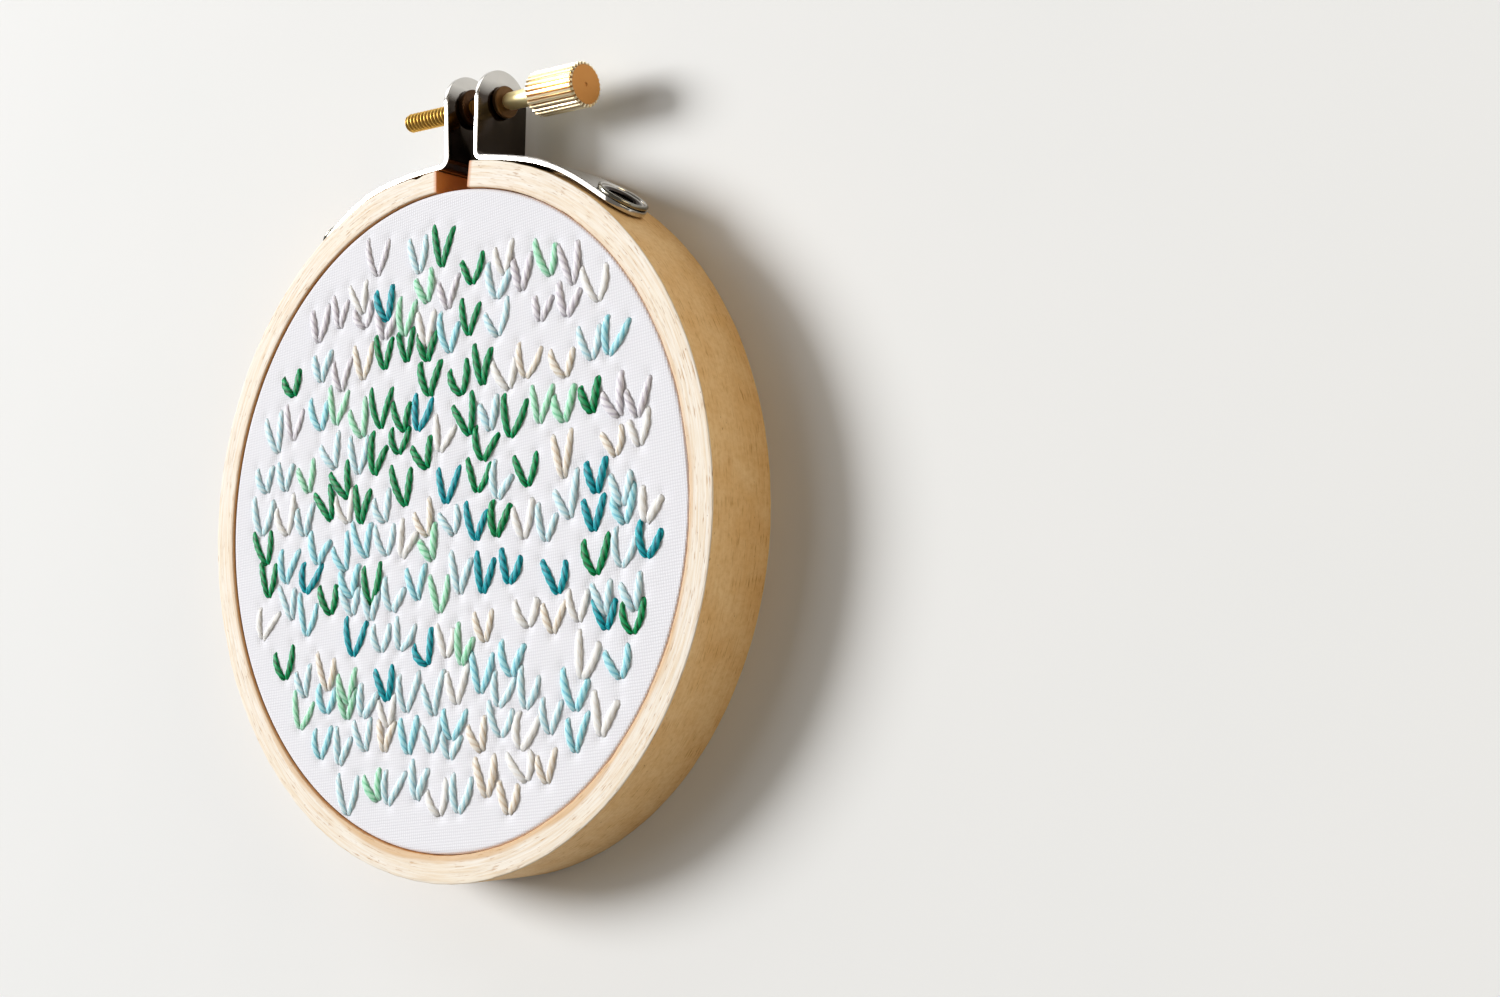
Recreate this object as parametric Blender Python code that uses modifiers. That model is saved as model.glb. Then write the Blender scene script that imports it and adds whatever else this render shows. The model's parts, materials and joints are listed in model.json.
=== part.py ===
"""Embroidered cloth held in a small split wooden hoop with a brass clamp screw.

The hoop lies on its back: +Z is the face's outward normal, +Y points to the clamp at the top of
the work, and the origin is under the middle of the whole piece, on the surface that it lies on.
"""

import math

import bmesh
import bpy
from mathutils import Vector

# Gap kept between pieces that touch
CLEARANCE = 0.0003

# Split outer hoop
HOOP_RADIUS = 0.0430
HOOP_WALL = 0.0033
HOOP_DEPTH = 0.0100
HOOP_EDGE_RADIUS = 0.0005
SPLIT_HALF_ANGLE = math.radians(3.9)

# Cloth, stretched over the inner hoop and turned down between the two hoops
CLOTH_THICKNESS = 0.0010
CLOTH_RECESS = 0.0002
CLOTH_RADIUS = HOOP_RADIUS - HOOP_WALL - CLEARANCE
CLOTH_EDGE_RADIUS = 0.0006
CLOTH_TRIM_HEIGHT = 0.0004
CLOTH_TOP = HOOP_DEPTH - CLOTH_RECESS

# Closed inner hoop, under the cloth
INNER_RADIUS = CLOTH_RADIUS - CLOTH_THICKNESS - CLEARANCE
INNER_WALL = 0.0036
INNER_DEPTH = CLOTH_TOP - CLOTH_THICKNESS - CLEARANCE

# Sheet-metal clamp brackets, one each side of the split
STRIP_WIDTH = 0.0080
STRIP_THICKNESS = 0.00065
STRIP_Z = HOOP_DEPTH - 0.0002 - STRIP_WIDTH / 2
STRAP_GAP = 0.00035
STRAP_END_RADIUS = 0.00325
STRAP_TAPER_LENGTH = 0.0090
BEND_RADIUS = 0.0011
EYELET_CLOCK = math.radians(33.4)

# Each ear: how far its near face stands from the middle at its foot, and its lean outwards
LEFT_EAR = (0.0010, math.radians(5.2))
RIGHT_EAR = (0.0033, math.radians(-1.3))

# Eyelets that hold the brackets to the wood
EYELET_FLANGE_RADIUS = 0.0031
EYELET_FLANGE_HEIGHT = 0.0006
EYELET_MOUTH_RADIUS = 0.0024
EYELET_BORE_RADIUS = 0.0015
EYELET_BARREL_RADIUS = 0.0019
EYELET_INSET = 0.0003

# Clamp screw above the split, its knob end a little higher, and the brass nut in the left ear
SCREW_HEIGHT = 0.0506
SCREW_RADIUS = 0.00115
SCREW_HOLE_RADIUS = SCREW_RADIUS + CLEARANCE
SCREW_TILT = math.radians(1.1)
SCREW_TIP_X = -0.0131
TIP_CHAMFER = 0.0003
COLLAR_RADIUS = 0.00195
COLLAR_LENGTH = 0.0006
GROOVE_RADIUS = 0.00085
GROOVE_LENGTH = 0.00035
KNOB_START_X = 0.0101
KNOB_END_X = 0.01770
KNOB_RADIUS = 0.0027
KNOB_CHAMFER = 0.0002
KNURL_DEPTH = 0.00026
KNURL_TEETH = 28
KNURL_CREST_SHARE = 0.3
NUT_FLANGE_RADIUS = 0.0023
NUT_FLANGE_LENGTH = 0.0007
NUT_NECK_RADIUS = 0.0018
NUT_LIP_RADIUS = 0.00225
NUT_LIP_LENGTH = 0.00045

# The origin is under the middle of the whole piece, so the hoop's centre lies below it
EAR_TOP = SCREW_HEIGHT + STRIP_WIDTH / 2
HOOP_CENTRE = (0, (HOOP_RADIUS - EAR_TOP) / 2, 0)

# Fineness of round shapes
HOOP_STEPS = 96
ROUND_STEPS = 32
CORNER_STEPS = 2
STRAP_STEPS = 8
BEND_STEPS = 5

# Colours and finishes: red, green, blue, roughness, metallic
FINISHES = {
    "beech": (0.84, 0.68, 0.44, 0.55, 0.0),
    "inner_beech": (0.80, 0.64, 0.42, 0.60, 0.0),
    "white_cotton": (0.90, 0.89, 0.91, 0.90, 0.0),
    "nickel_steel": (0.66, 0.66, 0.67, 0.22, 1.0),
    "brass": (0.83, 0.60, 0.25, 0.25, 1.0),
}

QUARTER = math.pi / 2


def clear_scene():
    for obj in list(bpy.data.objects):
        bpy.data.objects.remove(obj)


def new_collection(name):
    collection = bpy.data.collections.new(name)
    bpy.context.scene.collection.children.link(collection)
    return collection


def make_material(name):
    red, green, blue, roughness, metallic = FINISHES[name]
    material = bpy.data.materials.new(name)
    material.use_nodes = True
    shader = material.node_tree.nodes["Principled BSDF"]
    shader.inputs["Base Color"].default_value = (red, green, blue, 1)
    shader.inputs["Roughness"].default_value = roughness
    shader.inputs["Metallic"].default_value = metallic
    return material


class Workshop:
    """Where finished parts and cutters go, all placed from one empty at the hoop's centre."""

    def __init__(self):
        self.parts = new_collection("hoop_embroidery")
        self.cutters = new_collection("cutters")
        self.finishes = {name: make_material(name) for name in FINISHES}
        self.centre = bpy.data.objects.new("hoop_centre", None)
        self.centre.location = HOOP_CENTRE
        self.parts.objects.link(self.centre)

    def place(self, obj, collection, location, rotation):
        obj.parent = self.centre
        obj.location = location
        obj.rotation_euler = rotation
        collection.objects.link(obj)
        return obj

    def add_part(self, name, mesh, finish, location=(0, 0, 0), rotation=(0, 0, 0)):
        part = self.place(bpy.data.objects.new(name, mesh), self.parts, location, rotation)
        if not mesh.materials:
            mesh.materials.append(self.finishes[finish])
        mesh.shade_smooth()
        mesh.set_sharp_from_angle(angle=math.radians(30))
        return part

    def combine(self, part, operation, mesh, location=(0, 0, 0), rotation=(0, 0, 0)):
        """Cuts a mesh out of a part, or joins it on, with a Boolean modifier."""
        name = mesh.name
        cutter = self.place(bpy.data.objects.new(name, mesh), self.cutters, location, rotation)
        cutter.hide_render = True
        cutter.display_type = "WIRE"
        modifier = part.modifiers.new(name, "BOOLEAN")
        modifier.operation = operation
        modifier.object = cutter


def evaluated_mesh(name, data, add_modifiers=None):
    """The mesh of a temporary object for a curve or a profile, with its seams welded."""
    source = bpy.data.objects.new(name, data)
    bpy.context.scene.collection.objects.link(source)
    if add_modifiers:
        add_modifiers(source)
    bpy.context.view_layer.update()
    graph = bpy.context.evaluated_depsgraph_get()
    mesh = bpy.data.meshes.new_from_object(source.evaluated_get(graph))
    mesh.name = name
    bpy.data.objects.remove(source)
    work = bmesh.new()
    work.from_mesh(mesh)
    bmesh.ops.remove_doubles(work, verts=work.verts, dist=1e-6)
    work.to_mesh(mesh)
    work.free()
    return mesh


def arc(centre, radius, start, end, steps):
    """Points on an arc, both ends included, at angles in radians from the first axis."""
    angles = [start + (end - start) * i / steps for i in range(steps + 1)]
    return [(centre[0] + radius * math.cos(a), centre[1] + radius * math.sin(a)) for a in angles]


def turned(name, profile, steps, closed):
    """A shape turned about local Z from (radius, height) points, down its outer side first."""
    profile_mesh = bpy.data.meshes.new(name + "_profile")
    count = len(profile)
    last = count if closed else count - 1
    edges = [(i, (i + 1) % count) for i in range(last)]
    profile_mesh.from_pydata([(radius, 0, height) for radius, height in profile], edges, [])

    def add_screw(source):
        screw = source.modifiers.new("turn", "SCREW")
        screw.steps = screw.render_steps = steps
        screw.use_merge_vertices = True
        screw.merge_threshold = 0.00001

    return evaluated_mesh(name, profile_mesh, add_screw)


def plate(name, rings, thickness):
    """A flat plate from a filled 2D curve: the first ring is its outline, the others holes."""
    curve = bpy.data.curves.new(name, "CURVE")
    curve.dimensions = "2D"
    curve.fill_mode = "BOTH"
    curve.extrude = thickness / 2
    for ring in rings:
        spline = curve.splines.new("POLY")
        spline.points.add(len(ring) - 1)
        for point, (x, y) in zip(spline.points, ring):
            point.co = (x, y, 0, 1)
        spline.use_cyclic_u = True
    return evaluated_mesh(name, curve)


def on_clock(clock, radius):
    """A point in the hoop's plane, at an angle off the top and a distance from the centre."""
    return Vector((radius * math.sin(clock), radius * math.cos(clock)))


def ring_section(inner, outer, depth):
    """A ring's section with rounded corners, clockwise from the top of its outer side."""
    corner = HOOP_EDGE_RADIUS
    centres = [
        (outer - corner, depth - corner),
        (outer - corner, corner),
        (inner + corner, corner),
        (inner + corner, depth - corner),
    ]
    points = []
    for turn, centre in enumerate(centres):
        start = (1 - turn) * QUARTER
        points += arc(centre, corner, start, start - QUARTER, CORNER_STEPS)
    return points


def radial(side):
    """Turns local Z to point out of the hoop through the eyelet on one side."""
    return (-QUARTER, 0, -side * EYELET_CLOCK)


def make_outer_hoop(shop):
    """The wooden ring, sawn through at the top and drilled for the two eyelets."""
    section = ring_section(HOOP_RADIUS - HOOP_WALL, HOOP_RADIUS, HOOP_DEPTH)
    mesh = turned("outer_hoop", section, HOOP_STEPS, closed=True)
    hoop = shop.add_part("outer_hoop", mesh, "beech")

    reach = 2 * HOOP_RADIUS
    wedge = [(0, 0), on_clock(SPLIT_HALF_ANGLE, reach), on_clock(-SPLIT_HALF_ANGLE, reach)]
    saw_cut = plate("saw_cut", [wedge], 3 * HOOP_DEPTH)
    shop.combine(hoop, "DIFFERENCE", saw_cut)

    for side in (-1, 1):
        drill = bpy.data.meshes.new("eyelet_drill")
        work = bmesh.new()
        radius = EYELET_BARREL_RADIUS + CLEARANCE
        bmesh.ops.create_cone(
            work,
            cap_ends=True,
            segments=ROUND_STEPS,
            radius1=radius,
            radius2=radius,
            depth=2 * HOOP_WALL,
        )
        work.to_mesh(drill)
        work.free()
        place = on_clock(side * EYELET_CLOCK, HOOP_RADIUS - HOOP_WALL / 2)
        shop.combine(hoop, "DIFFERENCE", drill, (place.x, place.y, STRIP_Z), radial(side))


def make_inner_hoop(shop):
    section = ring_section(INNER_RADIUS - INNER_WALL, INNER_RADIUS, INNER_DEPTH)
    mesh = turned("inner_hoop", section, HOOP_STEPS, closed=True)
    shop.add_part("inner_hoop", mesh, "inner_beech")


def make_cloth(shop):
    """One sheet: a flat face with its edge turned down between the two hoops."""
    edge = CLOTH_EDGE_RADIUS
    inside = CLOTH_RADIUS - CLOTH_THICKNESS
    under = CLOTH_TOP - CLOTH_THICKNESS
    shoulder = arc((CLOTH_RADIUS - edge, CLOTH_TOP - edge), edge, QUARTER, 0, CORNER_STEPS)
    trimmed_edge = [(CLOTH_RADIUS, CLOTH_TRIM_HEIGHT), (inside, CLOTH_TRIM_HEIGHT)]
    profile = [(0, CLOTH_TOP)] + shoulder + trimmed_edge + [(inside, under), (0, under)]
    mesh = turned("cloth", profile, HOOP_STEPS, closed=False)
    shop.add_part("cloth", mesh, "white_cotton")


class BracketPath:
    """The middle line of a right-hand bracket, from its eyelet round the hoop and up the ear."""

    def __init__(self, ear):
        foot_x, lean = ear
        half = STRIP_THICKNESS / 2
        self.radius = HOOP_RADIUS + STRAP_GAP + half
        centre_radius = self.radius + BEND_RADIUS
        centre_x = foot_x + half + BEND_RADIUS * math.cos(lean)
        self.bend_clock = math.asin(centre_x / centre_radius)
        self.bend_centre = on_clock(self.bend_clock, centre_radius)
        self.arc_angle = EYELET_CLOCK - self.bend_clock
        self.arc_length = self.arc_angle * self.radius
        self.bend_end = self.arc_length + BEND_RADIUS * (QUARTER - self.bend_clock + lean)
        self.ear_way = on_clock(lean, 1)
        self.ear_normal = Vector((self.ear_way.y, -self.ear_way.x))
        self.ear_foot = self.bend_centre - BEND_RADIUS * self.ear_normal
        self.length = self.bend_end + (SCREW_HEIGHT - self.ear_foot.y) / self.ear_way.y

    def at(self, length):
        """The point at a length from the eyelet, and the strip's outward normal there."""
        if length > self.bend_end:
            return self.ear_foot + self.ear_way * (length - self.bend_end), self.ear_normal
        if length > self.arc_length:
            turn = (length - self.arc_length) / BEND_RADIUS
            normal = on_clock(self.bend_clock + turn, 1)
            return self.bend_centre - BEND_RADIUS * normal, normal
        normal = on_clock(EYELET_CLOCK - length / self.radius, 1)
        return normal * self.radius, normal

    def stations(self):
        """Lengths where the flat strip is divided, so that it bends smoothly."""
        strap = [self.arc_length * i / STRAP_STEPS for i in range(-1, STRAP_STEPS)]
        bend = self.bend_end - self.arc_length
        return strap + [self.arc_length + bend * i / BEND_STEPS for i in range(BEND_STEPS + 1)]


def ear_middle_x(ear):
    """How far an ear's middle stands from the split's middle at the height of the screw."""
    path = BracketPath(ear)
    return path.at(path.length)[0].x


def make_bracket(shop, name, side, ear, screw_hole_radius):
    """A flat blank with round ends and two holes, bent along the hoop and up into an ear."""
    path = BracketPath(ear)
    half_width = STRIP_WIDTH / 2
    steps = ROUND_STEPS // 2
    outline = [(STRAP_TAPER_LENGTH, half_width)]
    outline += arc((0, 0), STRAP_END_RADIUS, QUARTER, 3 * QUARTER, steps)
    outline += [(STRAP_TAPER_LENGTH, -half_width)]
    outline += arc((path.length, 0), half_width, -QUARTER, QUARTER, steps)
    eyelet_hole = arc((0, 0), EYELET_BARREL_RADIUS + CLEARANCE, 0, 4 * QUARTER, ROUND_STEPS)
    screw_hole = arc((path.length, 0), screw_hole_radius, 0, 4 * QUARTER, ROUND_STEPS)
    mesh = plate(name, [outline, eyelet_hole[:-1], screw_hole[:-1]], STRIP_THICKNESS)

    work = bmesh.new()
    work.from_mesh(mesh)
    for station in path.stations():
        everything = list(work.verts) + list(work.edges) + list(work.faces)
        bmesh.ops.bisect_plane(
            work, geom=everything, dist=1e-7, plane_co=(station, 0, 0), plane_no=(1, 0, 0)
        )
    for vert in work.verts:
        along, across, out = vert.co
        middle, normal = path.at(along)
        point = middle + normal * out
        vert.co = (side * point.x, point.y, STRIP_Z + across)
    if side < 0:
        bmesh.ops.reverse_faces(work, faces=work.faces)
    work.to_mesh(mesh)
    work.free()
    shop.add_part(name, mesh, "nickel_steel")


def make_eyelets(shop):
    """Two tubular rivets through strap and wood, each with a rolled rim and a funnel mouth."""
    strap_top = HOOP_RADIUS + STRAP_GAP + STRIP_THICKNESS
    under = strap_top + CLEARANCE
    roll = EYELET_FLANGE_HEIGHT / 2
    rim_centre = (EYELET_FLANGE_RADIUS - roll, under + roll)
    inner_end = HOOP_RADIUS - HOOP_WALL + EYELET_INSET
    profile = [(EYELET_MOUTH_RADIUS, under + EYELET_FLANGE_HEIGHT)]
    profile += arc(rim_centre, roll, QUARTER, -QUARTER, 2 * CORNER_STEPS)
    profile += [(EYELET_BARREL_RADIUS, under), (EYELET_BARREL_RADIUS, inner_end)]
    profile += [(EYELET_BORE_RADIUS, inner_end), (EYELET_BORE_RADIUS, strap_top)]
    mesh = turned("eyelet", profile, ROUND_STEPS, closed=True)
    for name, side in (("eyelet_left", -1), ("eyelet_right", 1)):
        shop.add_part(name, mesh, "nickel_steel", (0, 0, STRIP_Z), radial(side))


def make_nut(shop):
    """The brass bush in the left ear, square to it: a flange inside, a neck and a lip outside."""
    lean = LEFT_EAR[1]
    flange = STRIP_THICKNESS / 2 + CLEARANCE
    end = flange + NUT_FLANGE_LENGTH
    bore = SCREW_HOLE_RADIUS + end * math.tan(lean)
    profile = [
        (bore, end),
        (NUT_FLANGE_RADIUS, end),
        (NUT_FLANGE_RADIUS, flange),
        (NUT_NECK_RADIUS, flange),
        (NUT_NECK_RADIUS, -flange),
        (NUT_LIP_RADIUS, -flange),
        (NUT_LIP_RADIUS, -flange - NUT_LIP_LENGTH),
        (bore, -flange - NUT_LIP_LENGTH),
    ]
    mesh = turned("nut", profile, ROUND_STEPS, closed=True)
    place = (-ear_middle_x(LEFT_EAR), SCREW_HEIGHT, STRIP_Z)
    shop.add_part("nut", mesh, "brass", place, (0, QUARTER, lean))


def knob_mesh():
    """The knurled knob: ridges with flat crests and V grooves, chamfered at both ends."""
    pitch = 2 * math.pi / KNURL_TEETH
    half_crest = KNURL_CREST_SHARE / 2
    tooth = [(-half_crest, 0), (half_crest, 0), (0.5, KNURL_DEPTH)]
    ring = []
    for i in range(KNURL_TEETH):
        ring += [on_clock(pitch * (i + share), KNOB_RADIUS - depth) for share, depth in tooth]
    length = KNOB_END_X - KNOB_START_X
    mesh = plate("knob", [ring], length)

    work = bmesh.new()
    work.from_mesh(mesh)
    shoulder = length / 2 - KNOB_CHAMFER
    for height in (-shoulder, shoulder):
        everything = list(work.verts) + list(work.edges) + list(work.faces)
        bmesh.ops.bisect_plane(
            work, geom=everything, dist=1e-7, plane_co=(0, 0, height), plane_no=(0, 0, 1)
        )
    shrink = 1 - KNOB_CHAMFER / KNOB_RADIUS
    for vert in work.verts:
        if abs(vert.co.z) > shoulder + KNOB_CHAMFER / 2:
            vert.co.x *= shrink
            vert.co.y *= shrink
    work.to_mesh(mesh)
    work.free()
    return mesh


def make_screw(shop):
    """One turned piece: threaded core, collar against the right ear, shank and knurled knob."""
    tilt = COLLAR_RADIUS * math.tan(SCREW_TILT - RIGHT_EAR[1])
    collar = ear_middle_x(RIGHT_EAR) + STRIP_THICKNESS / 2 + CLEARANCE + tilt
    collar_end = collar + COLLAR_LENGTH
    knob_middle = (KNOB_START_X + KNOB_END_X) / 2
    profile = [
        (0, knob_middle),
        (SCREW_RADIUS, knob_middle),
        (SCREW_RADIUS, collar_end + GROOVE_LENGTH),
        (GROOVE_RADIUS, collar_end + GROOVE_LENGTH),
        (GROOVE_RADIUS, collar_end),
        (COLLAR_RADIUS, collar_end),
        (COLLAR_RADIUS, collar),
        (SCREW_RADIUS, collar),
        (SCREW_RADIUS, SCREW_TIP_X + TIP_CHAMFER),
        (SCREW_RADIUS - TIP_CHAMFER, SCREW_TIP_X),
        (0, SCREW_TIP_X),
    ]
    mesh = turned("screw", profile, ROUND_STEPS, closed=False)
    middle = Vector((0, SCREW_HEIGHT, STRIP_Z))
    way = Vector((math.cos(SCREW_TILT), math.sin(SCREW_TILT), 0))
    along_screw = (0, QUARTER, SCREW_TILT)
    screw = shop.add_part("screw", mesh, "brass", middle, along_screw)
    shop.combine(screw, "UNION", knob_mesh(), middle + knob_middle * way, along_screw)


def main():
    clear_scene()
    shop = Workshop()
    make_outer_hoop(shop)
    make_inner_hoop(shop)
    make_cloth(shop)
    make_bracket(shop, "bracket_left", -1, LEFT_EAR, NUT_NECK_RADIUS + CLEARANCE)
    make_bracket(shop, "bracket_right", 1, RIGHT_EAR, SCREW_HOLE_RADIUS)
    make_eyelets(shop)
    make_nut(shop)
    make_screw(shop)


main()
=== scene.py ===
import json
import math
import random

import bmesh
import bpy
import numpy as np
from mathutils import Matrix, Vector, noise
from mathutils.kdtree import KDTree


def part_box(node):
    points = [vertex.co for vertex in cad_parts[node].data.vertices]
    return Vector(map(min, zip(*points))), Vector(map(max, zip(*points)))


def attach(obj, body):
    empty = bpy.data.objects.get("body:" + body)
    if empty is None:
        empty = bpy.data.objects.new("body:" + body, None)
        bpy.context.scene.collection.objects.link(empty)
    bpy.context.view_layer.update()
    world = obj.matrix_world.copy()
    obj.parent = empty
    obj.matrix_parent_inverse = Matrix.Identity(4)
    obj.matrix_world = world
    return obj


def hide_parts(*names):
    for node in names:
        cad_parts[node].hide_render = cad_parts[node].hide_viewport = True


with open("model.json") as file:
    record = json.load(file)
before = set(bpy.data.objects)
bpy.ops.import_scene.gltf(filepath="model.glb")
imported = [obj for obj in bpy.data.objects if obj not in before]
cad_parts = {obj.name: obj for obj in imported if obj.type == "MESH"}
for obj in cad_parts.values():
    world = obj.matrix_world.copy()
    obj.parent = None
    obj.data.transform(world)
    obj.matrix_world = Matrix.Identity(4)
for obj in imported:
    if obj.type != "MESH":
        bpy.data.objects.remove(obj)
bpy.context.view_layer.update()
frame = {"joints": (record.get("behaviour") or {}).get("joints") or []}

MM = 0.001
TURN = 2 * math.pi
QUARTER = math.pi / 2

# Places read from the frame
HOOP_LOW, HOOP_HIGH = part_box("outer_hoop")
CLOTH_LOW, CLOTH_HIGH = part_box("cloth")
RADIUS = (HOOP_HIGH.x - HOOP_LOW.x) / 2
DEPTH = HOOP_HIGH.z
CENTRE = Vector((0, HOOP_LOW.y + RADIUS, 0))
CLOTH_TOP = CLOTH_HIGH.z
SCREW_MIDDLE = Vector(frame["joints"][0]["pos_m"])
SCREW_WAY = Vector(frame["joints"][0]["axis"])

# The hoop's own sizes
WALL = 3.3 * MM
SPLIT_HALF_ANGLE = math.radians(3.9)
EYELET_CLOCK = math.radians(33.4)
TUBE_RADIUS = 1.9 * MM
# The hole that each tube passes through
HOLE_RADIUS = TUBE_RADIUS + 0.05 * MM
HOLE_SEGMENTS = 48
# The split ring is thinner over this way from its left end, by this much at the end itself
THINNED_WAY = 15 * MM
THINNED_BY = 0.62 * MM
# Steps round a ring, and the radius of its soft corners
RING_COLUMNS = 420
RING_CORNER = 0.13 * MM


def linear(code):
    """A linear colour from a plain six-digit screen colour."""
    parts = [int(code[i : i + 2], 16) / 255 for i in (0, 2, 4)]
    return tuple(c / 12.92 if c < 0.04045 else ((c + 0.055) / 1.055) ** 2.4 for c in parts) + (1,)


# Helpers for meshes


class Shape:
    """Points and faces of one piece, with what its material reads from each point."""

    def __init__(self):
        self.points = []
        self.faces = []
        self.facts = {}

    def grid(self, columns, rows, point, wrap_columns=False, wrap_rows=False):
        """A surface of columns by rows points, where point(i, j) gives each place."""
        start = len(self.points)
        for i in range(columns):
            for j in range(rows):
                self.points.append(point(i, j))
        for i in range(columns if wrap_columns else columns - 1):
            for j in range(rows if wrap_rows else rows - 1):
                a, b = i * rows, (i + 1) % columns * rows
                k = (j + 1) % rows
                self.faces.append((start + a + j, start + b + j, start + b + k, start + a + k))
        return start

    def cap(self, indices):
        self.faces.append(tuple(indices))

    def build(self, name, material, smooth=35):
        mesh = bpy.data.meshes.new(name)
        mesh.from_pydata(self.points, [], self.faces)
        for key, values in self.facts.items():
            layer = mesh.attributes.new(key, "FLOAT_VECTOR", "POINT")
            layer.data.foreach_set("vector", np.array(values, np.float32).ravel())
        return add_object(name, mesh, material, smooth)


def link(obj):
    bpy.context.scene.collection.objects.link(obj)


def add_object(name, mesh, material, smooth=35):
    """An object with smooth faces, and edges sharper than so many degrees kept sharp."""
    mesh.materials.append(material)
    mesh.shade_smooth()
    mesh.set_sharp_from_angle(angle=math.radians(smooth))
    obj = bpy.data.objects.new(name, mesh)
    link(obj)
    return obj


def fix_normals(obj, weld=False):
    """Turns all faces outwards, and with weld first joins points that lie on each other."""
    work = bmesh.new()
    work.from_mesh(obj.data)
    if weld:
        bmesh.ops.remove_doubles(work, verts=work.verts, dist=1e-7)
    bmesh.ops.recalc_face_normals(work, faces=work.faces)
    work.to_mesh(obj.data)
    work.free()


def place(obj, slot, body="hoop", replaces=()):
    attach(obj, body)
    if replaces:
        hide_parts(*replaces)


def arc(centre, radius, start, end, steps):
    angles = [start + (end - start) * i / steps for i in range(steps + 1)]
    return [(centre[0] + radius * math.cos(a), centre[1] + radius * math.sin(a)) for a in angles]


def on_clock(clock, radius):
    return Vector((radius * math.sin(clock), radius * math.cos(clock)))


def lathe(profile, steps, matrix, closed):
    """A turned shape about local Z, from (radius, height) points."""
    shape = Shape()

    def point(i, j):
        radius, height = profile[j]
        angle = TURN * i / steps
        return matrix @ Vector((radius * math.cos(angle), radius * math.sin(angle), height))

    shape.grid(steps, len(profile), point, wrap_columns=True, wrap_rows=closed)
    return shape


# Helpers for materials


class Look:
    """A Principled material and the nodes that feed it."""

    def __init__(self, name, **sockets):
        self.material = bpy.data.materials.new(name)
        self.material.use_nodes = True
        self.tree = self.material.node_tree
        self.shader = self.tree.nodes["Principled BSDF"]
        self.put(self.shader, sockets)

    def put(self, node, sockets):
        for key, value in sockets.items():
            socket = node.inputs[key if isinstance(key, int) else key.replace("_", " ")]
            if isinstance(value, bpy.types.NodeSocket):
                self.tree.links.new(value, socket)
            else:
                socket.default_value = value

    def node(self, kind, out=0, sockets=None, **settings):
        node = self.tree.nodes.new("ShaderNode" + kind)
        for key, value in settings.items():
            setattr(node, key, value)
        self.put(node, sockets or {})
        return node.outputs[out]

    def fact(self, name, out="Vector"):
        return self.node("Attribute", out, attribute_name=name)

    def split(self, vector):
        node = self.tree.nodes.new("ShaderNodeSeparateXYZ")
        self.tree.links.new(vector, node.inputs[0])
        return node.outputs

    def place(self):
        return self.node("TexCoord", "Object")

    def scaled(self, vector, scale, turn=0.0):
        sockets = {"Vector": vector, "Scale": scale, "Rotation": (0, 0, turn)}
        return self.node("Mapping", sockets=sockets)

    def noise(self, vector, scale, detail=3.0, rough=0.55):
        sockets = {"Vector": vector, "Scale": scale, "Detail": detail, "Roughness": rough}
        return self.node("TexNoise", sockets=sockets)

    def ramp(self, value, low, high, to_low=0.0, to_high=1.0):
        sockets = {0: value, 1: low, 2: high, 3: to_low, 4: to_high}
        return self.node("MapRange", sockets=sockets, clamp=True)

    def sum(self, operation, a, b=0.0):
        return self.node("Math", sockets={0: a, 1: b}, operation=operation)

    def mix(self, factor, a, b, blend="MIX"):
        node = self.tree.nodes.new("ShaderNodeMix")
        node.data_type = "RGBA"
        node.blend_type = blend
        self.put(node, {0: factor, 6: a, 7: b})
        return node.outputs[2]

    def bump(self, height, distance, strength=1.0):
        sockets = {"Height": height, "Distance": distance, "Strength": strength}
        self.put(self.shader, {"Normal": self.node("Bump", sockets=sockets)})

    def colour(self, colour):
        self.put(self.shader, {"Base_Color": colour})


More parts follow.
